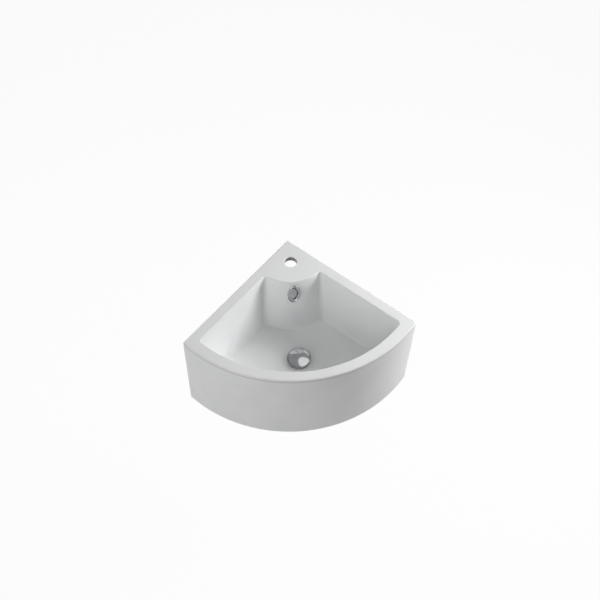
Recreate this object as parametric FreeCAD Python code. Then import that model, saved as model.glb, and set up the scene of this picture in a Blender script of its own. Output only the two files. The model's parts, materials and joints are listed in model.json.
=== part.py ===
"""Corner wash basin with its overflow cover and click waste, in millimetres.

+Z is up and z = 0 is the top of the rim. The corner of the room is the Z axis, the two walls run from it
towards (-X, -Y) and (+X, -Y), and the basin's curved front faces -Y. X = 0 is the plane of symmetry.
"""
import FreeCAD, Part
import math
import os

from FreeCAD import Placement, Rotation, Vector

# Outside of the basin
wall_leg = 440.0              # from the corner to a side corner, along each wall
basin_height = 286.0
front_radius = 404.0          # plan radius of the curved front
back_corner_round = 4.0
side_corner_round = 6.0
top_edge_round = 4.0
base_edge_round = 5.0
skirt_wall = 13.0             # ceramic of the front, the sides and the wall faces

# Rim and tap deck
side_rim = 30.0
front_rim = 28.0              # on the plane of symmetry
front_inner_radius = 355.0    # of the bowl at the rim, tighter than outside, so the rim widens to the sides
deck_depth = 146.0            # corner to the deck's front edge, on the plane of symmetry
deck_radius = 117.0           # plan radius of that edge
deck_thickness = 16.0
mouth_edge_round = 3.0

# Bowl
bowl_depth = 165.0            # rim to the flat seat of the waste
floor_slope = 2.5             # degrees
side_draft = 11.0             # degrees from upright
deck_draft = 15.6
front_draft = 8.0
bowl_corner_round = 12.0
bowl_foot_round = 10.8        # at most nine tenths of the corner round
bowl_wall = 12.0              # ceramic around the bowl

# Holes for the tap and the wall bolts, and the notch that gives the pipes and a hand room at the back
tap_hole_radius = 17.5
tap_hole_from_corner = 78.0
tap_hole_edge_round = 1.5
bolt_hole_radius = 6.0
bolt_from_corner = 92.0       # along each wall
bolt_below_rim = 35.0
notch_reach = 118.0           # along each wall
notch_below_rim = 54.0
notch_round = 18.0

# Overflow: a hole in the deck's wall, a flat channel behind it and a chamber around the waste
overflow_below_rim = 40.0
overflow_hole_half_width = 13.0
overflow_hole_half_height = 22.0
channel_width = 40.0
channel_depth = 14.0
channel_wall = 9.0

# Overflow cover: a thin-rimmed oval dish in the hole, and an oval cap that leaves a slot at its top
cover_half_width = 18.0
cover_half_height = 29.0
cover_lean = 8.0              # degrees, the long axis leans to the right
cover_rim_width = 2.4
cover_rim_height = 5.0
cover_plate_height = 2.2
cover_sleeve_wall = 1.6
cover_sleeve_depth = 14.0
cover_cap_half_width = 13.6
cover_cap_half_height = 18.0
cover_cap_left = 3.0
cover_cap_drop = 4.6
cover_cap_thickness = 2.6
cover_prong_depth = 9.0
cover_prong_wall = 1.5
cover_back = 4.0              # of the dish behind the wall's face, before it is cut to the wall

# Waste, heights from the seat in the bowl
waste_from_corner = 295.0
waste_hole_radius = 23.0
waste_seat_radius = 38.0
waste_grip = 44.0             # ceramic between the seat and the underside of the waste boss
boss_wall = 11.0              # ceramic around the chamber
chamber_gap = 11.0            # from the waste hole to the chamber's wall
gasket_thickness = 1.5
flange_radius = 30.0
flange_thickness = 3.0
body_radius = 20.9
body_wall = 3.4
body_mouth_bevel = 2.0
body_below_grip = 28.0
window_width = 18.0
window_margin = 1.0           # from the window's ends to the channel's floor and roof
window_round = 2.0
bridge_height = 7.0
bridge_arm_width = 4.0
bridge_below_grip = 6.0
washer_radius = 31.0
washer_thickness = 10.0
washer_bevel = 6.0            # at the lower edge, with washer_bevel_height
washer_bevel_height = 5.0
washer_edge_bevel = 1.0
washer_cone_height = 5.0      # of the part that stands in the waste hole
gasket_inset = 1.0            # of the gasket from the flange's edge
friction_ring_radius = 27.0
friction_ring_thickness = 2.0
nut_across_flats = 50.0
nut_thickness = 10.0
nut_bevel = 2.0
tail_radius = 15.9
tail_wall = 1.2
tail_length = 136.0           # from the end of the waste body
tail_spigot_length = 9.0
tail_shoulder_height = 8.5
tail_shoulder_edge = 3.0      # upright part of the shoulder
tail_seal_thickness = 1.5
tail_seal_inset = 0.5

# Click cap and its cartridge
cap_radius = 33.0
cap_wall = 2.0
cap_skirt_low = 2.2           # above the seat, when shut
cap_edge_height = 9.4
cap_dome_rise = 4.4
cap_shoulder_round = 1.6
cap_lip_bevel = 0.4
cap_inner_bevel = 1.0
cap_lift = 9.0
cap_boss_radius = 7.0
seal_outer_radius = 27.0
seal_width = 6.0
seal_thickness = 2.2
seal_overhang = 0.5           # of the seal past both sides of its rib
plunger_radius = 4.0
plunger_stud_radius = 3.0
plunger_stud_length = 6.5
plunger_bevel = 0.5
collar_height = 3.0
cam_height = 3.6
cam_lug_reach = 1.6
cam_lug_width = 2.0
cam_lug_step = 0.8            # from the ring's top down to the lugs' top
cartridge_radius = 9.0
cartridge_wall = 1.8
cartridge_top = -6.0
cartridge_lid_thickness = 3.0
cartridge_lip = 0.8           # wall of the cup beside its lid
cartridge_floor = 3.0
cartridge_stud_radius = 5.5
cartridge_stud_length = 10.0
cartridge_stud_bevel = 0.8
spring_wire = 1.1
spring_turns = 6.0
plunger_guide_length = 16.0

# Clearances
thread_clearance = 0.1        # radial, between a thread and what turns on it
guide_clearance = 0.1         # radial, where the plunger and the cartridge slide
rest_gap = 0.3                # between a moving piece and what it stops on
sleeve_clearance = 0.3        # between the overflow cover and its hole
cover_seat_gap = 0.05         # between the overflow cover and the bowl's wall

# Values worked out from the sizes above
far = 4 * wall_leg
over_rim = 6.0                # how far the bowl's cutting shapes stand above the rim
under_bowl = bowl_depth + bowl_wall + 20.0
half_span = wall_leg / math.sqrt(2)
front_centre_y = -half_span + math.sqrt(front_radius ** 2 - half_span ** 2)
front_inner_centre_y = front_centre_y - front_radius + front_rim + front_inner_radius
deck_centre_y = deck_radius - deck_depth
chamber_radius = waste_hole_radius + chamber_gap
boss_radius = chamber_radius + boss_wall
channel_top = -bowl_wall                    # from the seat
channel_bottom = channel_top - channel_depth
flange_top = gasket_thickness + flange_thickness
body_end = -waste_grip - body_below_grip
body_bore = body_radius - body_wall
bridge_top = -waste_grip - bridge_below_grip
thread_radius = body_radius + thread_clearance
seal_low = flange_top + rest_gap
collar_top = cartridge_top - cartridge_lid_thickness - cap_lift - 2 * rest_gap
cavity_radius = cartridge_radius - cartridge_wall
cavity_floor = bridge_top + cartridge_floor
cam_top = collar_top - collar_height - rest_gap
spring_top = cam_top - cam_height - rest_gap
plunger_shoulder = cap_edge_height + cap_dome_rise - cap_wall - plunger_stud_length - 2 * rest_gap


# ---- shared shapes

def disc(radius, low, high, x=0.0, y=0.0):
    return Part.makeCylinder(radius, high - low, Vector(x, y, low))


def ring(outer, inner, low, high):
    return disc(outer, low, high).cut(disc(inner, low - 1, high + 1))


def block(x, y, z):
    """Box between pairs of coordinates."""
    return Part.makeBox(x[1] - x[0], y[1] - y[0], z[1] - z[0], Vector(x[0], y[0], z[0]))


def half_space(point, normal):
    """Very large block on the side of a plane that its normal points to."""
    side = Part.makeBox(2 * far, 2 * far, far, Vector(-far, -far, 0))
    side.Placement = Placement(point, Rotation(Vector(0, 0, 1), normal))
    return side


def turned(points):
    """Solid turned about Z from an outline of (radius, height) points.

    A point that holds a third value is the middle of an arc.
    """
    edges = []
    start = points[0]
    middle = None
    for point in points[1:] + points[:1]:
        if len(point) == 3:
            middle = point
            continue
        a = Vector(start[0], 0, start[1])
        b = Vector(point[0], 0, point[1])
        if middle:
            edges.append(Part.Arc(a, Vector(middle[0], 0, middle[1]), b).toShape())
        else:
            edges.append(Part.makeLine(a, b))
        start = point
        middle = None
    return Part.Face(Part.Wire(edges)).revolve(Vector(0, 0, 0), Vector(0, 0, 1), 360)


def oval(half_width, half_height, low, high, x=0.0, y=0.0):
    """Elliptical block, its width along X and its height along Y."""
    across = half_width > half_height
    major = max(half_width, half_height)
    minor = min(half_width, half_height)
    centre = Vector(x, y, low)
    curve = Part.Ellipse(centre, major, minor)
    if not across:
        curve.rotate(Placement(Vector(0, 0, 0), Rotation(Vector(0, 0, 1), 90), centre))
    return Part.Face(Part.Wire(curve.toShape())).extrude(Vector(0, 0, high - low))


def rounded(shape, radius, test):
    """The shape with a fillet on every edge that passes the test."""
    return shape.makeFillet(radius, [edge for edge in shape.Edges if test(edge)])


def is_upright(edge):
    ends = [vertex.Point for vertex in edge.Vertexes]
    return len(ends) == 2 and math.hypot(ends[0].x - ends[1].x, ends[0].y - ends[1].y) < 0.01


def at_waste(shape):
    """Moves a piece drawn about the Z axis, with the seat at z = 0, to its place in the bowl."""
    return shape.translated(Vector(0, -waste_from_corner, -bowl_depth))


def deck_wall_y(depth):
    return deck_centre_y - deck_radius - depth * math.tan(math.radians(deck_draft))


def on_deck_wall(shape):
    """Moves a piece drawn on the XY plane to the overflow, with its +Z out of the wall and +Y up it."""
    moved = shape.copy()
    spot = Vector(0, deck_wall_y(overflow_below_rim), -overflow_below_rim)
    moved.Placement = Placement(spot, Rotation(Vector(1, 0, 0), 90 - deck_draft)).multiply(moved.Placement)
    return moved


# ---- basin

def sector(inset, low, high):
    """Plan of the basin, a right angle closed by the curved front, drawn in by inset on every side."""
    square = Part.makeBox(far, far, high - low, Vector(inset, inset, low))
    square.rotate(Vector(0, 0, 0), Vector(0, 0, 1), 225)
    return square.common(disc(front_radius - inset, low, high, 0, front_centre_y))


def outside():
    shape = sector(0, -basin_height, 0)
    shape = rounded(shape, back_corner_round, lambda e: is_upright(e) and e.CenterOfMass.y > -1)
    shape = rounded(shape, side_corner_round,
                    lambda e: is_upright(e) and abs(e.CenterOfMass.x) > half_span - 1)
    shape = rounded(shape, top_edge_round, lambda e: e.BoundBox.ZMin > -0.01)
    return rounded(shape, base_edge_round, lambda e: e.BoundBox.ZMax < 0.01 - basin_height)


def deck_cone(grow):
    """The tap deck's front, which flares outwards as it goes down into the bowl."""
    slope = math.tan(math.radians(deck_draft))
    radius = deck_radius - grow / math.cos(math.radians(deck_draft))
    return Part.makeCone(radius + under_bowl * slope, radius - over_rim * slope, under_bowl + over_rim,
                         Vector(0, deck_centre_y, -under_bowl))


def front_cone(grow):
    """The curved front wall's inner face, which draws in as it goes down."""
    slope = math.tan(math.radians(front_draft))
    radius = front_inner_radius + grow / math.cos(math.radians(front_draft))
    return Part.makeCone(radius - under_bowl * slope, radius + over_rim * slope, under_bowl + over_rim,
                         Vector(0, front_inner_centre_y, -under_bowl))


def side_face(sign, grow):
    """Space on the bowl's side of one side wall."""
    lean = math.radians(side_draft)
    inward = Vector(-sign, -1, 0).normalize()
    along = side_rim - grow / math.cos(lean)
    normal = inward * math.cos(lean) + Vector(0, 0, math.sin(lean))
    return half_space(inward * along, normal)


def below_floor(grow):
    """Everything under the bowl's floor, which falls gently to the flat seat of the waste.

    Its seam faces the deck, clear of the bowl's corners.
    """
    rise = (far - waste_seat_radius) * math.tan(math.radians(floor_slope))
    ground = turned([(0, -grow), (waste_seat_radius, -grow), (far, rise - grow), (far, -far), (0, -far)])
    return at_waste(ground.rotated(Vector(0, 0, 0), Vector(0, 0, 1), 90))


def bowl_space(grow):
    """The inside of the bowl. With grow, the outside of the ceramic around it."""
    shape = front_cone(grow).common(side_face(-1, grow)).common(side_face(1, grow))
    shape = shape.cut(deck_cone(grow)).cut(below_floor(grow))
    shape = rounded(shape, bowl_corner_round + grow, lambda e: e.BoundBox.ZLength > bowl_depth / 2)
    seat = Part.Vertex(Vector(0, -waste_from_corner, -bowl_depth - grow))
    return rounded(shape, bowl_foot_round + grow,
                   lambda e: e.BoundBox.ZMax < -bowl_depth / 2 and e.BoundBox.ZLength < bowl_depth / 2
                   and e.distToShape(seat)[0] > waste_seat_radius + 1)


def overflow_channel(grow):
    """The water's way from the overflow hole down behind the bowl and along under its floor.

    With grow, the outside of the ceramic around it.
    """
    half = channel_width / 2 + grow
    slant = math.cos(math.radians(deck_draft))
    back = -bowl_wall - channel_depth - grow
    floor = -bowl_depth + channel_bottom - grow
    down = block((-half, half), (floor / slant, cover_half_height + grow), (back, 1 - bowl_wall))
    down = on_deck_wall(down).common(half_space(Vector(0, 0, floor), Vector(0, 0, 1)))
    down = down.cut(half_space(Vector(0, 0, grow - deck_thickness), Vector(0, 0, 1)))
    along = block((-half, half), (-waste_from_corner, deck_wall_y(-floor) - back / slant),
                  (floor, channel_top - bowl_depth))
    return down.fuse(along)


def waste_chamber():
    """The round chamber that the overflow water fills around the waste."""
    return at_waste(disc(chamber_radius, channel_bottom, channel_top))


def waste_boss():
    return at_waste(disc(boss_radius, -waste_grip, channel_top + 1))


def along_walls(shape):
    """A copy for each wall of a piece drawn against the left one, where +X runs along the wall."""
    left = shape.copy()
    left.rotate(Vector(0, 0, 0), Vector(0, 0, 1), 225)
    return [left, left.mirror(Vector(0, 0, 0), Vector(1, 0, 0))]


def back_cuts():
    """Bolt holes, and the notch behind the bowl, through both wall faces."""
    depth = skirt_wall + 1
    bolt = Part.makeCylinder(bolt_hole_radius, depth + 1,
                             Vector(bolt_from_corner, -1, -bolt_below_rim), Vector(0, 1, 0))
    notch = block((-1, notch_reach), (-1, depth), (-basin_height - 1, -notch_below_rim))
    notch = rounded(notch, notch_round, lambda e: abs(e.CenterOfMass.x - notch_reach) < 0.01
                    and abs(e.CenterOfMass.z + notch_below_rim) < 0.01)
    return along_walls(bolt) + along_walls(notch)


def basin_body():
    hollow = sector(skirt_wall, -basin_height - 1, -deck_thickness)
    hollow = hollow.cut(bowl_space(bowl_wall)).cut(overflow_channel(channel_wall)).cut(waste_boss())
    shape = outside().cut(hollow).cut(bowl_space(0))
    shape = rounded(shape, mouth_edge_round, lambda e: e.BoundBox.ZMin > -0.01 and is_in_mouth(e))
    shape = shape.cut(disc(tap_hole_radius, -far, 1, 0, -tap_hole_from_corner))
    tap_edge = 2 * math.pi * tap_hole_radius
    shape = rounded(shape, tap_hole_edge_round,
                    lambda e: e.BoundBox.ZMin > -0.01 and abs(e.Length - tap_edge) < 0.01)
    hole = oval(overflow_hole_half_width, overflow_hole_half_height, -bowl_wall - 1, over_rim)
    waste = at_waste(disc(waste_hole_radius, -waste_grip - 1, 1))
    for cut in [overflow_channel(0), waste_chamber(), on_deck_wall(hole), waste] + back_cuts():
        shape = shape.cut(cut)
    return shape


def is_in_mouth(edge):
    """True for the edges between the rim's flat top and the bowl."""
    middle = edge.valueAt((edge.FirstParameter + edge.LastParameter) / 2)
    off_walls = (-abs(middle.x) - middle.y) / math.sqrt(2)
    off_front = front_radius - math.hypot(middle.x, middle.y - front_centre_y)
    return off_walls > side_rim / 2 + top_edge_round / 2 and off_front > front_rim / 2 + top_edge_round / 2


# ---- overflow cover

def leaning(shape):
    """Turns a piece of the cover so that its long axis leans to the right."""
    return shape.rotated(Vector(0, 0, 0), Vector(0, 0, 1), -cover_lean)


def oval_tube(half_width, half_height, wall, low, high):
    bore = oval(half_width - wall, half_height - wall, low - 1, high + 1)
    return oval(half_width, half_height, low, high).cut(bore)


def overflow_ring():
    """Thin-rimmed oval dish with a sleeve that goes into the hole."""
    dish = leaning(oval(cover_half_width, cover_half_height, -cover_back, cover_rim_height))
    dish = rounded(dish, cover_rim_width * 0.45, lambda e: e.BoundBox.ZMin > cover_rim_height - 0.1)
    inner_width = cover_half_width - cover_rim_width
    inner_height = cover_half_height - cover_rim_width
    dish = dish.cut(leaning(oval(inner_width, inner_height, cover_plate_height, 2 * cover_rim_height)))
    width = overflow_hole_half_width - sleeve_clearance
    height = overflow_hole_half_height - sleeve_clearance
    sleeve = oval_tube(width, height, cover_sleeve_wall, -cover_sleeve_depth, cover_plate_height)
    bore = oval(width - cover_sleeve_wall, height - cover_sleeve_wall, -10, 10)
    dish = on_deck_wall(dish.cut(bore)).cut(deck_cone(-cover_seat_gap))
    return dish.fuse(on_deck_wall(sleeve)).removeSplitter()


def overflow_cap():
    """Oval cap that lies on the dish, low and to the left, and clips into its sleeve."""
    top = cover_plate_height + cover_cap_thickness
    face = oval(cover_cap_half_width, cover_cap_half_height, cover_plate_height, top,
                -cover_cap_left, -cover_cap_drop)
    face = rounded(face, cover_cap_thickness / 2, lambda e: e.BoundBox.ZMin > top - 0.1)
    room = oval(cover_half_width - cover_rim_width - sleeve_clearance,
                cover_half_height - cover_rim_width - sleeve_clearance, -1, 2 * top)
    width = overflow_hole_half_width - 2 * sleeve_clearance - cover_sleeve_wall
    height = overflow_hole_half_height - 2 * sleeve_clearance - cover_sleeve_wall
    prongs = oval_tube(width, height, cover_prong_wall, -cover_prong_depth, cover_plate_height + 0.5)
    prongs = prongs.cut(block((-far, far), (-height / 4, far), (-far, far)))
    return on_deck_wall(face.common(leaning(room)).fuse(prongs).removeSplitter())


# ---- waste

def waste_body():
    """Flange and threaded tube in one, with windows for the overflow and a bridge for the cartridge."""
    edge = flange_thickness / 2
    under = gasket_thickness
    top = flange_top
    shape = turned([
        (body_bore, body_end), (body_radius, body_end), (body_radius, under),
        (flange_radius - edge, under), (flange_radius, under + edge, "arc"),
        (flange_radius - edge, top), (body_bore + body_mouth_bevel, top), (body_bore, top - body_mouth_bevel),
    ])
    middle = (channel_top + channel_bottom) / 2
    height = channel_depth - 2 * window_margin
    window = block((-far, far), (-window_width / 2, window_width / 2),
                   (middle - height / 2, middle + height / 2))
    window = window.cut(disc(body_bore - 1, -far / 2, far / 2))
    window = window.common(disc(body_radius + 5, -far / 2, far / 2))
    window = rounded(window, window_round, lambda e: e.BoundBox.XLength > 1 and e.BoundBox.YLength < 0.1)
    shape = shape.cut(window.rotated(Vector(0, 0, 0), Vector(0, 0, 1), 90))
    hub = disc(cartridge_radius, bridge_top - bridge_height, bridge_top)
    arm = block((0, body_bore + 1), (-bridge_arm_width / 2, bridge_arm_width / 2),
                (bridge_top - bridge_height, bridge_top))
    arms = [arm.rotated(Vector(0, 0, 0), Vector(0, 0, 1), 45 + 120 * i) for i in range(3)]
    bore = disc(cartridge_stud_radius + thread_clearance, -far, 0)
    return at_waste(shape.fuse([hub] + arms).cut(bore).removeSplitter())


def flange_gasket():
    return at_waste(ring(flange_radius - gasket_inset, thread_radius, 0, gasket_thickness))


def tapered_washer():
    """Soft washer that seals under the basin, with a short cone up into the hole."""
    top = -waste_grip
    low = top - washer_thickness
    cone = waste_hole_radius - thread_radius
    return at_waste(turned([
        (thread_radius, low), (washer_radius - washer_bevel, low), (washer_radius, low + washer_bevel_height),
        (washer_radius, top - washer_edge_bevel), (washer_radius - washer_edge_bevel, top),
        (waste_hole_radius - rest_gap, top), (thread_radius + cone / 3, top + washer_cone_height),
        (thread_radius, top + washer_cone_height),
    ]))


def friction_ring():
    top = -waste_grip - washer_thickness
    return at_waste(ring(friction_ring_radius, thread_radius, top - friction_ring_thickness, top))


def back_nut():
    top = -waste_grip - washer_thickness - friction_ring_thickness
    low = top - nut_thickness
    corner = nut_across_flats / math.sqrt(3)
    points = [Vector(corner * math.cos(math.radians(60 * i)), corner * math.sin(math.radians(60 * i)), low)
              for i in range(7)]
    shape = Part.Face(Part.makePolygon(points)).extrude(Vector(0, 0, nut_thickness))
    bevel = turned([(0, low), (nut_across_flats / 2, low), (corner + 1, low + nut_bevel),
                    (corner + 1, top - nut_bevel),
                    (nut_across_flats / 2, top), (0, top)])
    return at_waste(shape.common(bevel).cut(disc(thread_radius, low - 1, top + 1)))


def tail_seal():
    return at_waste(ring(body_radius - tail_seal_inset, body_bore + thread_clearance,
                         body_end - tail_seal_thickness, body_end))


def tailpiece():
    """Plain tube with a shoulder that closes the waste body and a spigot that screws into it."""
    spigot = body_bore - thread_clearance
    shoulder = body_end - tail_seal_thickness
    low = body_end - tail_length
    return at_waste(turned([
        (tail_radius - tail_wall, low), (tail_radius, low), (tail_radius, shoulder - tail_shoulder_height),
        (body_radius, shoulder - tail_shoulder_edge), (body_radius, shoulder), (spigot, shoulder),
        (spigot, body_end + tail_spigot_length), (tail_radius - tail_wall, body_end + tail_spigot_length),
    ]))


# ---- click cap and cartridge, drawn shut

def dome(radius, inset=0.0):
    """Height of the cap's domed top at a radius, or of the same dome set in by inset."""
    ball = (cap_radius ** 2 + cap_dome_rise ** 2) / (2 * cap_dome_rise)
    return cap_edge_height + cap_dome_rise - ball + math.sqrt((ball - inset) ** 2 - radius ** 2)


def waste_cap():
    """Domed cap with a skirt around the flange, a rib for its seal and a boss for the plunger."""
    inner = cap_radius - cap_wall
    edge = cap_radius - cap_shoulder_round
    corner = cap_shoulder_round * (1 - math.sqrt(0.5))
    bend = cap_radius * 0.5
    ceiling = dome(inner - cap_inner_bevel, cap_wall)
    shell = turned([
        (0, dome(0, cap_wall)), (bend, dome(bend, cap_wall), "arc"), (inner - cap_inner_bevel, ceiling),
        (inner, ceiling - cap_inner_bevel), (inner, cap_skirt_low), (cap_radius - cap_lip_bevel, cap_skirt_low),
        (cap_radius, cap_skirt_low + cap_lip_bevel), (cap_radius, dome(edge) - cap_shoulder_round),
        (cap_radius - corner, dome(edge) - corner, "arc"), (edge, dome(edge)),
        (bend, dome(bend), "arc"), (0, dome(0)),
    ])
    rib_outer = seal_outer_radius - seal_overhang
    rib_inner = seal_outer_radius - seal_width + seal_overhang
    rib = ring(rib_outer, rib_inner, seal_low + seal_thickness, dome(rib_outer) - cap_wall / 2)
    boss = disc(cap_boss_radius, plunger_shoulder, dome(cap_boss_radius) - cap_wall / 2)
    stud_hole = disc(plunger_stud_radius + thread_clearance, plunger_shoulder - 1,
                     plunger_shoulder + plunger_stud_length + rest_gap)
    return at_waste(shell.fuse([rib, boss]).cut(stud_hole).removeSplitter())


def cap_seal():
    inner = seal_outer_radius - seal_width
    return at_waste(ring(seal_outer_radius, inner, seal_low, seal_low + seal_thickness))


def plunger():
    """Rod that carries the cap, with a collar inside the cartridge."""
    shoulder = plunger_shoulder
    end = collar_top - collar_height - plunger_guide_length
    collar = cavity_radius - guide_clearance
    return at_waste(turned([
        (0, end), (plunger_radius - plunger_bevel, end), (plunger_radius, end + plunger_bevel),
        (plunger_radius, collar_top - collar_height), (collar, collar_top - collar_height),
        (collar, collar_top), (plunger_radius, collar_top), (plunger_radius, shoulder),
        (plunger_stud_radius, shoulder), (plunger_stud_radius, shoulder + plunger_stud_length),
        (0, shoulder + plunger_stud_length),
    ]))


def cartridge_cam():
    """Ring on the plunger that turns an eighth of a turn at each push, with four lugs."""
    low = cam_top - cam_height
    body = ring(cavity_radius - cam_lug_reach, plunger_radius + guide_clearance, low, cam_top)
    lug = block((cavity_radius - 1.5 * cam_lug_reach, cavity_radius - 2 * guide_clearance),
                (-cam_lug_width / 2, cam_lug_width / 2), (low, cam_top - cam_lug_step))
    lugs = [lug.rotated(Vector(0, 0, 0), Vector(0, 0, 1), 90 * i) for i in range(4)]
    return at_waste(body.fuse(lugs).removeSplitter())


def cartridge_cup():
    """Cup around the click works, with a stud that screws into the waste body's bridge."""
    end = bridge_top - cartridge_stud_length
    shoulder = cartridge_top - cartridge_lid_thickness
    mouth = cartridge_radius - cartridge_lip
    return at_waste(turned([
        (0, end), (cartridge_stud_radius - cartridge_stud_bevel, end),
        (cartridge_stud_radius, end + cartridge_stud_bevel),
        (cartridge_stud_radius, bridge_top), (cartridge_radius, bridge_top),
        (cartridge_radius, cartridge_top), (mouth, cartridge_top), (mouth, shoulder),
        (cavity_radius, shoulder), (cavity_radius, cavity_floor), (0, cavity_floor),
    ]))


def cartridge_lid():
    """Lid that screws into the cup and guides the plunger."""
    outer = cartridge_radius - cartridge_lip - thread_clearance
    low = cartridge_top - cartridge_lid_thickness
    guide = plunger_radius + guide_clearance
    return at_waste(turned([
        (guide, low), (outer, low), (outer, cartridge_top), (guide, cartridge_top),
    ]))


def cartridge_spring():
    """Coil between the cartridge's floor and the cam, squeezed while the cap is shut."""
    coil = (plunger_radius + cavity_radius) / 2 + 0.1
    low = cavity_floor + rest_gap + spring_wire / 2
    height = spring_top - low - spring_wire / 2
    helix = Part.makeLongHelix(height / spring_turns, height, coil)
    start = Part.Wire(Part.makeCircle(spring_wire / 2, Vector(coil, 0, 0), Vector(0, 1, 0)))
    wire = Part.Wire(helix.Edges).makePipeShell([start], True, True)
    return at_waste(wire.translated(Vector(0, 0, low)))


PIECES = [
    basin_body, overflow_ring, overflow_cap, waste_body, flange_gasket, tapered_washer, friction_ring,
    back_nut, tail_seal, tailpiece, waste_cap, cap_seal, plunger, cartridge_cam, cartridge_cup,
    cartridge_lid, cartridge_spring,
]


def main():
    os.makedirs("parts", exist_ok=True)
    for piece in PIECES:
        name = piece.__name__
        shape = piece()
        print(f"{name:18}{len(shape.Solids)} solid {shape.Volume / 1000:10.2f} cm3  {shape.isValid()}")
        shape.exportStep(f"parts/{name}.step")


main()
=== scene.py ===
import json
import math

import bmesh
import bpy
from mathutils import Matrix, Vector


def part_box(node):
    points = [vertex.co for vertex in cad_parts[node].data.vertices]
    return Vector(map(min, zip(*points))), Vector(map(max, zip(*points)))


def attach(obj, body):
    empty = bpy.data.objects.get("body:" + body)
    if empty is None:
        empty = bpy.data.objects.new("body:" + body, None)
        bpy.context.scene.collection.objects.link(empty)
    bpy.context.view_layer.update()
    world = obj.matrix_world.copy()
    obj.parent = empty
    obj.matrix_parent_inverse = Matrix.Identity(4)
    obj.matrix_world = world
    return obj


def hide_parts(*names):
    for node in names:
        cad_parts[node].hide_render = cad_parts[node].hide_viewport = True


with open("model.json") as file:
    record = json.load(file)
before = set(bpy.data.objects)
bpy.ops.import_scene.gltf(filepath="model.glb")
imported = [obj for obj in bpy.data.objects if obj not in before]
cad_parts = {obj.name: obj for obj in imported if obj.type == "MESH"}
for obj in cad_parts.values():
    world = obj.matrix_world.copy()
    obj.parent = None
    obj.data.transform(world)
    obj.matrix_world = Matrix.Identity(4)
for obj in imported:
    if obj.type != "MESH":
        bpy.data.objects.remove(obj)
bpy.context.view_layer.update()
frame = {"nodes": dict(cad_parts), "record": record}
nodes = frame["nodes"]
print("frame loaded:", len(nodes), "nodes")


# Shader maths: a socket that can be added, multiplied and so on
class Signal:
    def __init__(self, finish, socket):
        self.finish = finish
        self.socket = socket

    def combine(self, operation, first, second):
        node = self.finish.add("ShaderNodeMath", {"operation": operation}, {0: first, 1: second})
        return Signal(self.finish, node.outputs[0])

    def __add__(self, other):
        return self.combine("ADD", self, other)

    def __radd__(self, other):
        return self.combine("ADD", other, self)

    def __sub__(self, other):
        return self.combine("SUBTRACT", self, other)

    def __mul__(self, other):
        return self.combine("MULTIPLY", self, other)


# One material. add() makes any node: its settings first, then the values or links of its sockets
class Finish:
    def __init__(self, name, shader="ShaderNodeBsdfPrincipled"):
        self.material = bpy.data.materials.new(name)
        self.material.use_nodes = True
        self.tree = self.material.node_tree
        self.tree.nodes.clear()
        self.output = self.tree.nodes.new("ShaderNodeOutputMaterial")
        self.shader = self.tree.nodes.new(shader)
        self.surface(self.shader.outputs[0])

    def surface(self, socket):
        self.tree.links.new(socket, self.output.inputs["Surface"])

    def feed(self, socket, value):
        if isinstance(value, Signal):
            self.tree.links.new(value.socket, socket)
        elif isinstance(value, bpy.types.NodeSocket):
            self.tree.links.new(value, socket)
        else:
            socket.default_value = value

    def add(self, kind, settings=None, values=None):
        node = self.tree.nodes.new(kind)
        for key, value in (settings or {}).items():
            setattr(node, key, value)
        for key, value in (values or {}).items():
            self.feed(node.inputs[key], value)
        return node

    def set(self, **values):
        for key, value in values.items():
            self.feed(self.shader.inputs[key.replace("_", " ")], value)

    def place(self):
        return self.add("ShaderNodeTexCoord").outputs["Object"]

    def noise(self, scale, detail=2.0, roughness=0.5):
        values = {"Vector": self.place(), "Scale": scale, "Detail": detail, "Roughness": roughness}
        return Signal(self, self.add("ShaderNodeTexNoise", {}, values).outputs[0])

    def ramp(self, signal, low, high):
        values = {"Value": signal, "From Min": low, "From Max": high, "To Min": 0.0, "To Max": 1.0}
        return Signal(self, self.add("ShaderNodeMapRange", {"clamp": True}, values).outputs[0])

    def fromAxis(self, x, y):
        # distance from an upright axis, and depth below the rim
        spot = self.add("ShaderNodeSeparateXYZ", {}, {0: self.place()})
        across, back = Signal(self, spot.outputs[0]) - x, Signal(self, spot.outputs[1]) - y
        square = across * across + back * back
        return square.combine("POWER", square, 0.5), Signal(self, spot.outputs[2]) * -1.0

    def blend(self, mask, first, second):
        # first and second are colours or the outputs of other blends
        ends = [(*value, 1.0) if isinstance(value, tuple) else value for value in (first, second)]
        values = {0: mask, 6: ends[0], 7: ends[1]}
        return self.add("ShaderNodeMix", {"data_type": "RGBA"}, values).outputs[2]

    def bump(self, height, strength, distance):
        values = {"Height": height, "Strength": strength, "Distance": distance}
        self.set(Normal=self.add("ShaderNodeBump", {}, values).outputs[0])


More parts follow.
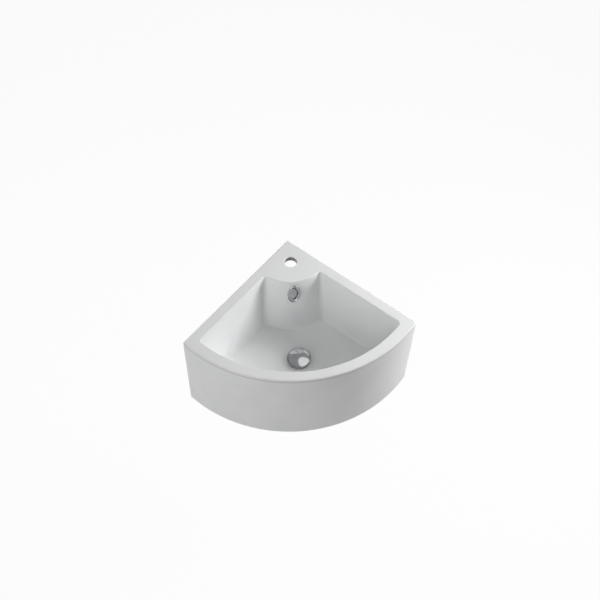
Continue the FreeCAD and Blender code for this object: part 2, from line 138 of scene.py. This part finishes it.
# The basin's sizes in metres and drafts in degrees, for its skin and for the marks in its glaze
basin = {
    "height": 0.286, "frontRadius": 0.404, "frontCentre": -0.05341, "backRound": 0.004, "sideRound": 0.006,
    "topRound": 0.004, "baseRound": 0.005, "leastSideRound": 0.002, "leastBackRound": 0.001,
    "skirt": 0.013, "skirtLip": 0.0015, "sideRim": 0.030, "innerRadius": 0.355, "innerCentre": -0.07441,
    "deckRadius": 0.117, "deckCentre": -0.029, "deckThickness": 0.016, "mouthRound": 0.003,
    "depth": 0.165, "sideDraft": 11.0, "deckDraft": 15.6, "frontDraft": 8.0, "floorSlope": 2.5,
    "cornerAtRim": 0.007, "cornerAtFloor": 0.017, "footRound": 0.006, "wall": 0.012, "riseStart": 0.06,
    "seatRadius": 0.038, "holeRadius": 0.023, "holeRound": 0.0025, "grip": 0.044, "bossRadius": 0.045,
    "tapRadius": 0.0175, "tapPlace": -0.078, "tapRound": 0.0015,
    "lipSet": 0.0006, "lipLine": (0.004, 0.008, 0.038),
    "lipRings": (0.0048, 0.0056, 0.0064, 0.0072, 0.008, 0.012, 0.017, 0.023, 0.030, 0.038),
}
wasteLow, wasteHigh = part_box("waste_cap")
wastePlace = Vector(((wasteLow.x + wasteHigh.x) / 2, (wasteLow.y + wasteHigh.y) / 2))


# White glaze: clear gloss over a slightly uneven body, unglazed in the tap hole and painted dark there as
# shade, and a band of painted shade below the front lip
glaze = {"white": (0.84, 0.845, 0.845), "shade": (0.81, 0.815, 0.82), "patch": 9.0, "ripple": 38.0,
         "paintedBoreShade": (0.3, 0.29, 0.28), "boreEdge": (0.0012, 0.0002), "boreStart": (0.0008, 0.004),
         "line": (0.55, 0.55, 0.55), "lineShare": 0.8, "lineReach": (0.394, 0.397),
         "lineDepth": (0.0035, 0.005, 0.0085, 0.013)}


def glazeFinish():
    finish = Finish("white_glaze")
    patches = finish.ramp(finish.noise(glaze["patch"]), 0.35, 0.65)
    ripple = finish.noise(glaze["ripple"], 1.0)
    reach, depth = finish.fromAxis(0.0, basin["tapPlace"])
    # Painted shade: the tap hole's unglazed bore gets a dark colour for the shade inside the hole
    outer, inner = glaze["boreEdge"]
    bore = finish.ramp(reach, basin["tapRadius"] + outer, basin["tapRadius"] + inner)
    paintedBoreShade = bore * finish.ramp(depth, *glaze["boreStart"])
    # Painted shade: a darker band on the front just below the lip, for the shade that falls there
    front = finish.ramp(finish.fromAxis(0.0, basin["frontCentre"])[0], *glaze["lineReach"])
    start, full, fade, end = glaze["lineDepth"]
    paintedLipShade = front * finish.ramp(depth, start, full) * finish.ramp(depth, end, fade)
    white = finish.blend(patches, glaze["white"], glaze["shade"])
    white = finish.blend(paintedLipShade * glaze["lineShare"], white, glaze["line"])
    finish.set(Base_Color=finish.blend(paintedBoreShade, white, glaze["paintedBoreShade"]),
               Roughness=0.3 + patches * 0.05, IOR=1.5, Coat_Weight=0.16, Coat_Roughness=0.07)
    finish.bump(ripple, 0.12, 0.0006)
    return finish.material


def metalFinish(name, bright, dull, gloss, grain):
    finish = Finish(name)
    haze = finish.ramp(finish.noise(grain, 3.0), 0.4, 0.75)
    finish.set(Base_Color=finish.blend(haze, bright, dull), Metallic=1.0, Roughness=gloss + haze * 0.06)
    finish.bump(finish.noise(grain * 6, 2.0), 0.05, 0.0002)
    return finish.material


# Chrome: painted shade darkens the waste's cap at its edge and the overflow's parts, far from it, which are
# also rougher
chrome = {"bright": (0.8, 0.81, 0.83), "hazy": (0.72, 0.73, 0.76), "rim": (0.3, 0.3, 0.31),
          "dull": (0.6, 0.6, 0.61), "grain": 60.0, "edge": (0.0285, 0.0315), "far": (0.05, 0.07)}


def chromeFinish():
    finish = Finish("polished_chrome")
    haze = finish.ramp(finish.noise(chrome["grain"], 3.0), 0.4, 0.75)
    reach = finish.fromAxis(*wastePlace)[0]
    # Painted shade: a dark ring of colour on the cap's edge, for the shade around it
    edge = finish.ramp(reach, *chrome["edge"])
    # Painted shade: the overflow's parts get a darker colour as shade, besides their rougher finish
    away = finish.ramp(reach, *chrome["far"])
    plate = finish.blend(haze, chrome["bright"], chrome["hazy"])
    finish.set(Base_Color=finish.blend(away, finish.blend(edge, plate, chrome["rim"]), chrome["dull"]),
               Metallic=1.0, Roughness=0.09 + haze * 0.05 + away * 0.14)
    finish.bump(finish.noise(chrome["grain"] * 6, 2.0), 0.05, 0.0002)
    return finish.material


def softFinish(name, colour, worn, roughness, grain, **extra):
    finish = Finish(name)
    speckle = finish.ramp(finish.noise(grain, 4.0, 0.6), 0.35, 0.7)
    finish.set(Base_Color=finish.blend(speckle, colour, worn), Roughness=roughness + speckle * 0.1, **extra)
    finish.bump(finish.noise(grain * 2, 3.0), 0.15, 0.0003)
    return finish.material


finishes = {
    "glaze": glazeFinish(),
    "chrome": chromeFinish(),
    "brass": metalFinish("turned_brass", (0.78, 0.58, 0.27), (0.62, 0.44, 0.2), 0.24, 90.0),
    "black_rubber": softFinish("black_rubber", (0.02, 0.02, 0.021), (0.05, 0.05, 0.05), 0.55, 300.0),
    "grey_rubber": softFinish("grey_rubber", (0.55, 0.56, 0.56), (0.47, 0.48, 0.48), 0.35, 200.0),
    "cream_plastic": softFinish("cream_plastic", (0.83, 0.77, 0.62), (0.77, 0.7, 0.55), 0.4, 160.0),
    "white_plastic": softFinish("white_plastic", (0.8, 0.8, 0.78), (0.74, 0.74, 0.71), 0.35, 160.0),
    "spring_steel": metalFinish("spring_steel", (0.6, 0.6, 0.62), (0.42, 0.42, 0.45), 0.28, 400.0),
}
for part in frame["record"]["subparts"]:
    mesh = nodes[part["node"]].data
    mesh.materials.clear()
    mesh.materials.append(finishes[part["material_slot"]])
print("finishes given")


# The ceramic, drawn as one closed skin whose corners are tight at the rim and soften towards the floor
along = Vector((1, -1)).normalized()       # the way the right wall runs
inward = Vector((-1, -1)).normalized()     # from the right wall into the basin
steps = {"back": 16, "corner": 10, "side": 22, "front": 34}


def arcPoints(centre, radius, start, end, count):
    turns = [start + (end - start) * i / count for i in range(count)]
    return [centre + Vector((math.cos(turn), math.sin(turn))) * radius for turn in turns]


def angleOf(vector):
    return math.atan2(vector.y, vector.x)


def touching(side, radius, centre, reach):
    # centre of a circle that touches the side line and lies at reach from another centre
    gap = inward * (side + radius) - centre
    lead = gap.dot(along)
    return centre + gap + along * (math.sqrt(reach ** 2 - gap.length_squared + lead ** 2) - lead)


def halfOutline(side, centre, front, corner, deck=None, deckCorner=None, backRound=None):
    middle = Vector((0, centre))
    wallSide = angleOf(-inward)
    if deck:
        hub = Vector((0, basin["deckCentre"]))
        bend = touching(side, deckCorner, hub, deck + deckCorner)
        first = angleOf(bend - hub)
        points = arcPoints(hub, deck, -math.pi / 2, first, steps["back"])
        points += arcPoints(bend, deckCorner, first + math.pi, wallSide, steps["corner"])
        start = bend - inward * deckCorner
    else:
        bend = Vector((0, -math.sqrt(2) * (side + backRound)))
        points = arcPoints(bend, backRound, math.pi / 2, wallSide, steps["back"] + steps["corner"])
        start = bend - inward * backRound
    turn = touching(side, corner, middle, front - corner)
    end = turn - inward * corner
    points += [start.lerp(end, i / steps["side"]) for i in range(steps["side"])]
    last = angleOf(turn - middle)
    points += arcPoints(turn, corner, wallSide, last, steps["corner"])
    points += arcPoints(middle, front, last, -math.pi / 2, steps["front"])
    return points + [middle - Vector((0, front))]


def bothHalves(points):
    return points + [Vector((-point.x, point.y)) for point in reversed(points[1:-1])]


def wallOffset(depth, draft, grow):
    # how far a wall of the bowl stands in from its line at the rim
    lean = math.radians(draft)
    rim = basin["mouthRound"]
    foot = basin["footRound"] + grow
    footCentre = basin["depth"] - basin["footRound"]
    straight = depth * math.tan(lean) - grow / math.cos(lean)
    if grow == 0 and depth < rim * (1 - math.sin(lean)):
        return rim * math.tan(lean) - rim / math.cos(lean) + math.sqrt(rim ** 2 - (rim - depth) ** 2)
    if depth > footCentre + foot * math.sin(lean):
        drop = min(depth - footCentre, foot)
        face = footCentre * math.tan(lean) + basin["footRound"] / math.cos(lean)
        return face - math.sqrt(foot ** 2 - drop ** 2)
    return straight


def smooth(share):
    share = min(max(share, 0.0), 1.0)
    return share * share * (3 - 2 * share)


def floorRise(point):
    away = (point.xy - wastePlace).length - basin["seatRadius"]
    return max(away, 0.0) * math.tan(math.radians(basin["floorSlope"]))


def bowlRing(depth, grow=0.0):
    side = wallOffset(depth, basin["sideDraft"], grow)
    corner = basin["cornerAtRim"] + (basin["cornerAtFloor"] - basin["cornerAtRim"]) * depth / basin["depth"]
    corner += depth * math.tan(math.radians(basin["sideDraft"])) - side
    front = basin["innerRadius"] - wallOffset(depth, basin["frontDraft"], grow)
    deck = basin["deckRadius"] + wallOffset(depth, basin["deckDraft"], grow)
    half = halfOutline(basin["sideRim"] + side, basin["innerCentre"], front, corner, deck, corner)
    share = smooth((depth - basin["riseStart"]) / (basin["depth"] - basin["footRound"] - basin["riseStart"]))
    return [Vector((point.x, point.y, share * floorRise(point) - depth)) for point in bothHalves(half)]


def lipLine(depth):
    # the front leans back just below its lip and comes forward again lower down
    top, foot, end = basin["lipLine"]
    if depth < foot:
        return basin["lipSet"] * smooth((depth - top) / (foot - top))
    return basin["lipSet"] * (1 - smooth((depth - foot) / (end - foot)))


def outerRing(depth, inset, back=0.0):
    sideRound = max(basin["sideRound"] - inset, basin["leastSideRound"])
    backRound = max(basin["backRound"] - inset, basin["leastBackRound"])
    front = basin["frontRadius"] - inset - back
    points = bothHalves(halfOutline(inset, basin["frontCentre"], front, sideRound, backRound=backRound))
    return [Vector((point.x, point.y, -depth)) for point in points]


def floorRings(edge, depth, radius, count):
    # rings from the foot of the walls in to a circle around the waste, all on the sloping floor
    rings = []
    for step in range(1, count + 1):
        ring = []
        for point in edge:
            circle = wastePlace + (point.xy - wastePlace).normalized() * radius
            spot = point.xy.lerp(circle, step / count)
            ring.append(Vector((spot.x, spot.y, floorRise(spot) - depth)))
        rings.append(ring)
    return rings


def wasteRing(edge, radius, depth):
    spots = [wastePlace + (point.xy - wastePlace).normalized() * radius for point in edge]
    return [Vector((spot.x, spot.y, -depth)) for spot in spots]


def quarter(count, first=0):
    return [math.radians(90 * i / count) for i in range(first, count + 1)]


def bowlSkin():
    depth = basin["depth"]
    foot = basin["footRound"]
    wall = basin["wall"]
    rings = [bowlRing(basin["mouthRound"] * (1 - math.cos(turn))) for turn in quarter(7)]
    footCentre = depth - foot
    count = 12
    rings += [bowlRing(basin["mouthRound"] + (footCentre - basin["mouthRound"]) * i / count)
              for i in range(1, count + 1)]
    rings += [bowlRing(footCentre + foot * math.sin(turn)) for turn in quarter(9, 1)]
    edge = rings[-1]
    rings += floorRings(edge, depth, basin["seatRadius"], 7)
    hole = basin["holeRadius"]
    lip = basin["holeRound"]
    rings += [wasteRing(edge, hole + lip * (1 - math.sin(turn)), depth + lip * (1 - math.cos(turn)))
              for turn in quarter(5)]
    base = depth + basin["grip"]
    boss = basin["bossRadius"]
    rings += [wasteRing(edge, hole, base - lip), wasteRing(edge, hole + lip, base)]
    rings += [wasteRing(edge, boss - lip + lip * math.sin(turn), base - lip + lip * math.cos(turn))
              for turn in quarter(4)]
    shell = depth + wall
    shellFoot = bowlRing(shell, wall)
    rings += [wasteRing(edge, boss, shell + lip)]
    rings += reversed([shellFoot] + floorRings(shellFoot, shell, boss + lip, 3))
    rings += [bowlRing(footCentre + (foot + wall) * math.sin(turn), wall)
              for turn in reversed(quarter(6)[:-1])]
    top = basin["deckThickness"]
    rings += [bowlRing(footCentre + (top - footCentre) * i / count, wall) for i in range(1, count + 1)]
    return rings


def outerSkin():
    edge = basin["topRound"]
    base = basin["baseRound"]
    tall = basin["height"]
    rings = [outerRing(edge * (1 - math.cos(turn)), edge * (1 - math.sin(turn))) for turn in quarter(6)]
    below = basin["lipRings"][-1]
    count = 8
    depths = [*basin["lipRings"]]
    depths += [below + (tall - base - below) * i / count for i in range(1, count + 1)]
    rings += [outerRing(depth, 0, lipLine(depth)) for depth in depths]
    rings += [outerRing(tall - base + base * math.sin(turn), base * (1 - math.cos(turn)))
              for turn in quarter(6, 1)]
    lip = basin["skirtLip"]
    rings += [outerRing(tall, basin["skirt"] - lip), outerRing(tall - lip, basin["skirt"])]
    rings += [outerRing(basin["deckThickness"], basin["skirt"])]
    return rings


def tapSkin():
    lip = basin["tapRound"]
    count = 64
    rings = []
    profile = [(basin["tapRadius"] + lip * (1 - math.sin(turn)), lip * (1 - math.cos(turn)))
               for turn in quarter(4)]
    for radius, depth in profile + [(basin["tapRadius"], basin["deckThickness"])]:
        turns = [math.tau * i / count for i in range(count)]
        rings.append([Vector((radius * math.cos(turn), basin["tapPlace"] + radius * math.sin(turn), -depth))
                      for turn in turns])
    return rings


def addRings(work, rings):
    # joins each ring to the next, and gives the edges of the first ring and of the last
    laid = [[work.verts.new(point) for point in ring] for ring in rings]
    for upper, lower in zip(laid, laid[1:]):
        for i in range(len(upper)):
            work.faces.new((upper[i - 1], upper[i], lower[i], lower[i - 1]))
    ends = (laid[0], laid[-1])
    return [[work.edges.get((ring[i - 1], ring[i])) for i in range(len(ring))] for ring in ends]


def basinSkin():
    work = bmesh.new()
    ends = [addRings(work, rings) for rings in (bowlSkin(), outerSkin(), tapSkin())]
    for level in (0, 1):
        edges = [edge for end in ends for edge in end[level]]
        bmesh.ops.triangle_fill(work, edges=edges, use_beauty=True, normal=(0, 0, 1))
    bmesh.ops.recalc_face_normals(work, faces=work.faces)
    return pieceFrom(work, "basin_ceramic")


def pieceFrom(work, name):
    mesh = bpy.data.meshes.new(name)
    work.to_mesh(mesh)
    work.free()
    piece = bpy.data.objects.new(name, mesh)
    bpy.context.collection.objects.link(piece)
    return piece


def prism(name, profile, depth, place):
    # closed block with an outline of (x, y) points, depth = (low, high) in z, then moved by place
    work = bmesh.new()
    low = [work.verts.new(place @ Vector((x, y, depth[0]))) for x, y in profile]
    high = [work.verts.new(place @ Vector((x, y, depth[1]))) for x, y in profile]
    work.faces.new(low)
    work.faces.new(high)
    for i in range(len(low)):
        work.faces.new((low[i - 1], low[i], high[i], high[i - 1]))
    bmesh.ops.recalc_face_normals(work, faces=work.faces)
    return pieceFrom(work, name)


def carve(piece, tool, operation):
    change = piece.modifiers.new("carve", "BOOLEAN")
    change.operation = operation
    change.solver = "EXACT"
    change.object = tool
    baked = bpy.data.meshes.new_from_object(piece.evaluated_get(bpy.context.evaluated_depsgraph_get()))
    piece.modifiers.remove(change)
    old = piece.data
    piece.data = baked
    bpy.data.meshes.remove(old)
    bpy.data.objects.remove(tool)


# The water way behind the deck's wall, the notch at the back and the bolt holes. The last rows say how far
# the duct starts inside the deck's wall, sinks into the ceramic and passes the waste hole, and how far each
# cut runs on
hidden = {"slot": (0.013, 0.022), "below": 0.040, "channelHalf": 0.020, "channelDepth": 0.014,
          "channelWall": 0.009, "chamberRadius": 0.034, "notchReach": 0.118, "notchBelow": 0.054,
          "notchRound": 0.018, "boltRadius": 0.006, "boltAlong": 0.092, "boltBelow": 0.035,
          "ductStart": 0.008, "ductSink": 0.006, "ductEnd": 0.008, "top": 0.002, "shave": 0.0005,
          "lap": 0.0002, "past": 0.01, "slotPast": 0.003, "wallPast": 0.002, "notchEnd": -0.02}


def deckFace(depth):
    return basin["deckCentre"] - basin["deckRadius"] - depth * math.tan(math.radians(basin["deckDraft"]))


def channelProfile(front, back, top, low, under, end):
    # outline in (y, z): down behind the deck's wall, then forward under the bowl to the waste
    return [(deckFace(top) + front, -top), (deckFace(top) + back, -top), (deckFace(low) + back, -low),
            (wastePlace.y + end, -low), (wastePlace.y + end, -under), (deckFace(under) + front, -under)]


def roundOutline(centre, radius, count):
    return [(point.x, point.y) for point in arcPoints(centre, radius, 0, math.tau, count)]


def carveBasin(piece):
    wall = basin["wall"]
    slant = math.cos(math.radians(basin["deckDraft"]))
    gap = hidden["channelDepth"]
    under = basin["depth"] + wall
    endOn = Matrix(((0, 0, 1, 0), (1, 0, 0, 0), (0, 1, 0, 0), (0, 0, 0, 1)))      # (y, z) outline, x across
    half = hidden["channelHalf"]
    border = hidden["channelWall"]
    top = basin["deckThickness"]
    outside = channelProfile(hidden["ductStart"], (wall + gap + border) / slant, top - hidden["top"],
                             under + gap + border, under - hidden["ductSink"],
                             basin["holeRadius"] + hidden["ductEnd"])
    reach = half + border
    carve(piece, prism("duct", outside, (-reach, reach), endOn), "UNION")
    inside = channelProfile((wall - hidden["shave"]) / slant, (wall + gap) / slant, top + hidden["top"],
                            under + gap, under, basin["holeRadius"] / 2)
    carve(piece, prism("duct_space", inside, (-half, half), endOn), "DIFFERENCE")
    spot = Matrix.Translation((*wastePlace, 0))
    lap = hidden["lap"]
    circle = roundOutline(Vector((0, 0)), hidden["chamberRadius"], 64)
    carve(piece, prism("chamber", circle, (-under - gap + lap, -under - lap), spot), "DIFFERENCE")
    turn = Matrix.Rotation(math.radians(90 - basin["deckDraft"]), 4, "X")
    place = Matrix.Translation((0, deckFace(hidden["below"]), -hidden["below"])) @ turn
    wide, tall = hidden["slot"]
    oval = [(wide * math.cos(math.tau * i / 64), tall * math.sin(math.tau * i / 64)) for i in range(64)]
    past = hidden["past"]
    carve(piece, prism("slot", oval, (-wall - hidden["slotPast"], past), place), "DIFFERENCE")
    bend = Vector((hidden["notchReach"], -hidden["notchBelow"])) - Vector((1, 1)) * hidden["notchRound"]
    curve = arcPoints(bend, hidden["notchRound"], math.pi / 2, 0, 10)
    notch = [(hidden["notchEnd"], -basin["height"] - past), (hidden["notchEnd"], -hidden["notchBelow"])]
    notch += [(point.x, point.y) for point in curve] + [(hidden["notchReach"], -basin["height"] - past)]
    bolt = roundOutline(Vector((hidden["boltAlong"], -hidden["boltBelow"])), hidden["boltRadius"], 32)
    skirt = basin["skirt"]
    outward = hidden["wallPast"]
    for mirror in (1, -1):
        # x along the wall, y up, z out of the wall
        wallSide = Matrix(((mirror * along.x, 0, -mirror * inward.x, 0), (along.y, 0, -inward.y, 0),
                           (0, 1, 0, 0), (0, 0, 0, 1)))
        carve(piece, prism("notch", notch, (-skirt - outward / 2, outward), wallSide), "DIFFERENCE")
        carve(piece, prism("bolt_hole", bolt, (-skirt - outward, outward), wallSide), "DIFFERENCE")


def finishShading(piece, angle):
    for face in piece.data.polygons:
        face.use_smooth = True
    piece.data.set_sharp_from_angle(angle=math.radians(angle))
    even = piece.modifiers.new("even_normals", "WEIGHTED_NORMAL")
    even.keep_sharp = True


def addBasin():
    piece = basinSkin()
    carveBasin(piece)
    finishShading(piece, 35)
    piece.data.materials.clear()
    piece.data.materials.append(finishes["glaze"])
    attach(piece, "basin")
    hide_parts("basin_body")
    return piece


ceramic = addBasin()
print("basin:", len(ceramic.data.polygons), "faces")


# Studio: a white floor well below the basin, which hangs clear of it
studio = {"floorHeight": -0.85, "floorSize": 14.0, "floorGrey": 0.85, "floorWhite": 0.95,
          "worldFill": 0.04, "worldMirrored": 0.25, "lampDistance": 1.8, "lampAim": (0.0, -0.27, -0.08)}


# White to the camera and in reflections, grey to all other rays, and clear from below
def floorFinish():
    finish = Finish("studio_floor", "ShaderNodeBsdfDiffuse")
    grey = studio["floorGrey"]
    finish.set(Color=(grey, grey, grey, 1.0))
    seen = finish.add("ShaderNodeLightPath")
    direct = Signal(finish, seen.outputs["Is Camera Ray"])
    mirrored = Signal(finish, seen.outputs["Is Glossy Ray"])
    through = Signal(finish, seen.outputs["Is Transmission Ray"])
    white = finish.add("ShaderNodeEmission", {}, {"Color": (1.0, 1.0, 1.0, 1.0), "Strength": 1.0})
    share = (direct + mirrored + through) * studio["floorWhite"]
    lit = finish.shader.outputs[0]
    mixed = finish.add("ShaderNodeMixShader", {}, {0: share, 1: lit, 2: white.outputs[0]})
    clear = finish.add("ShaderNodeBsdfTransparent")
    below = finish.add("ShaderNodeNewGeometry").outputs["Backfacing"]
    sided = finish.add("ShaderNodeMixShader", {}, {0: below, 1: mixed.outputs[0], 2: clear.outputs[0]})
    finish.surface(sided.outputs[0])
    return finish.material


def addFloor():
    half = studio["floorSize"] / 2
    z = studio["floorHeight"]
    mesh = bpy.data.meshes.new("studio_floor")
    corners = [(-half, -half, z), (half, -half, z), (half, half, z), (-half, half, z)]
    mesh.from_pydata(corners, [], [(0, 1, 2, 3)])
    mesh.materials.append(floorFinish())
    floor = bpy.data.objects.new("studio_floor", mesh)
    bpy.context.collection.objects.link(floor)


def addWorld():
    world = bpy.data.worlds.new("studio")
    bpy.context.scene.world = world
    world.use_nodes = True
    tree = world.node_tree
    back = tree.nodes["Background"]
    path = tree.nodes.new("ShaderNodeLightPath")
    fill = tree.nodes.new("ShaderNodeValue")
    fill.outputs[0].default_value = studio["worldFill"]
    strength = fill.outputs[0]
    mirrored = studio["worldMirrored"]
    levels = {"Is Glossy Ray": mirrored, "Is Transmission Ray": mirrored, "Is Camera Ray": 1.0}
    for ray, level in levels.items():
        mix = tree.nodes.new("ShaderNodeMix")
        tree.links.new(path.outputs[ray], mix.inputs[0])
        tree.links.new(strength, mix.inputs[2])
        mix.inputs[3].default_value = level
        strength = mix.outputs[0]
    tree.links.new(strength, back.inputs["Strength"])
    back.inputs["Color"].default_value = (1.0, 1.0, 1.0, 1.0)


# Soft boxes around the basin: azimuth from the front, height angle, width, height, power and shape
softBoxes = {
    "right": (100, 20, 0.4, 0.4, 15.0, "RECTANGLE"),
    "rightHigh": (100, 32, 0.4, 0.4, 10.0, "RECTANGLE"),
    "behindRight": (120, 32, 0.4, 0.4, 8.0, "RECTANGLE"),
    "behindLeft": (-135, 20, 1.0, 1.0, 6.5, "RECTANGLE"),
    "leftHigh": (-90, 45, 1.0, 1.0, 3.6, "RECTANGLE"),
    "frontLeft": (-45, 20, 1.0, 1.0, 8.5, "RECTANGLE"),
    "front": (-20, 20, 1.0, 1.0, 2.5, "RECTANGLE"),
    "above": (0, 66, 1.0, 1.0, 3.0, "RECTANGLE"),
    "key": (125, 68, 1.2, 1.0, 1.6, "ELLIPSE"),
}


def turned(azimuth, elevation):
    across = Matrix.Rotation(math.radians(azimuth), 4, "Z")
    return across @ Matrix.Rotation(math.radians(90 - elevation), 4, "X")


def addSoftBoxes():
    for name, (azimuth, elevation, width, height, power, shape) in softBoxes.items():
        light = bpy.data.lights.new(f"softBox_{name}", "AREA")
        light.shape = shape
        light.size = width
        light.size_y = height
        light.energy = power
        lamp = bpy.data.objects.new(light.name, light)
        lamp.matrix_world = (Matrix.Translation(studio["lampAim"]) @ turned(azimuth, elevation)
                             @ Matrix.Translation((0, 0, studio["lampDistance"])))
        bpy.context.collection.objects.link(lamp)


# The photograph's viewpoint, found from the basin's own edges
viewpoint = {"target": (0.0102, -0.2081, 0.0), "azimuth": -8.65, "elevation": 55.3, "roll": 2.14,
             "distance": 2.521, "lens": 56.17, "sensor": 36.0}


def addCamera():
    data = bpy.data.cameras.new("camera")
    data.lens = viewpoint["lens"]
    data.sensor_width = viewpoint["sensor"]
    camera = bpy.data.objects.new("camera", data)
    turn = turned(viewpoint["azimuth"], viewpoint["elevation"])
    turn = turn @ Matrix.Rotation(math.radians(viewpoint["roll"]), 4, "Z")
    camera.matrix_world = (Matrix.Translation(viewpoint["target"]) @ turn
                           @ Matrix.Translation((0, 0, viewpoint["distance"])))
    bpy.context.collection.objects.link(camera)
    bpy.context.scene.camera = camera


addFloor()
addWorld()
addSoftBoxes()
addCamera()
bpy.context.scene.view_settings.view_transform = "Standard"
print("studio ready")
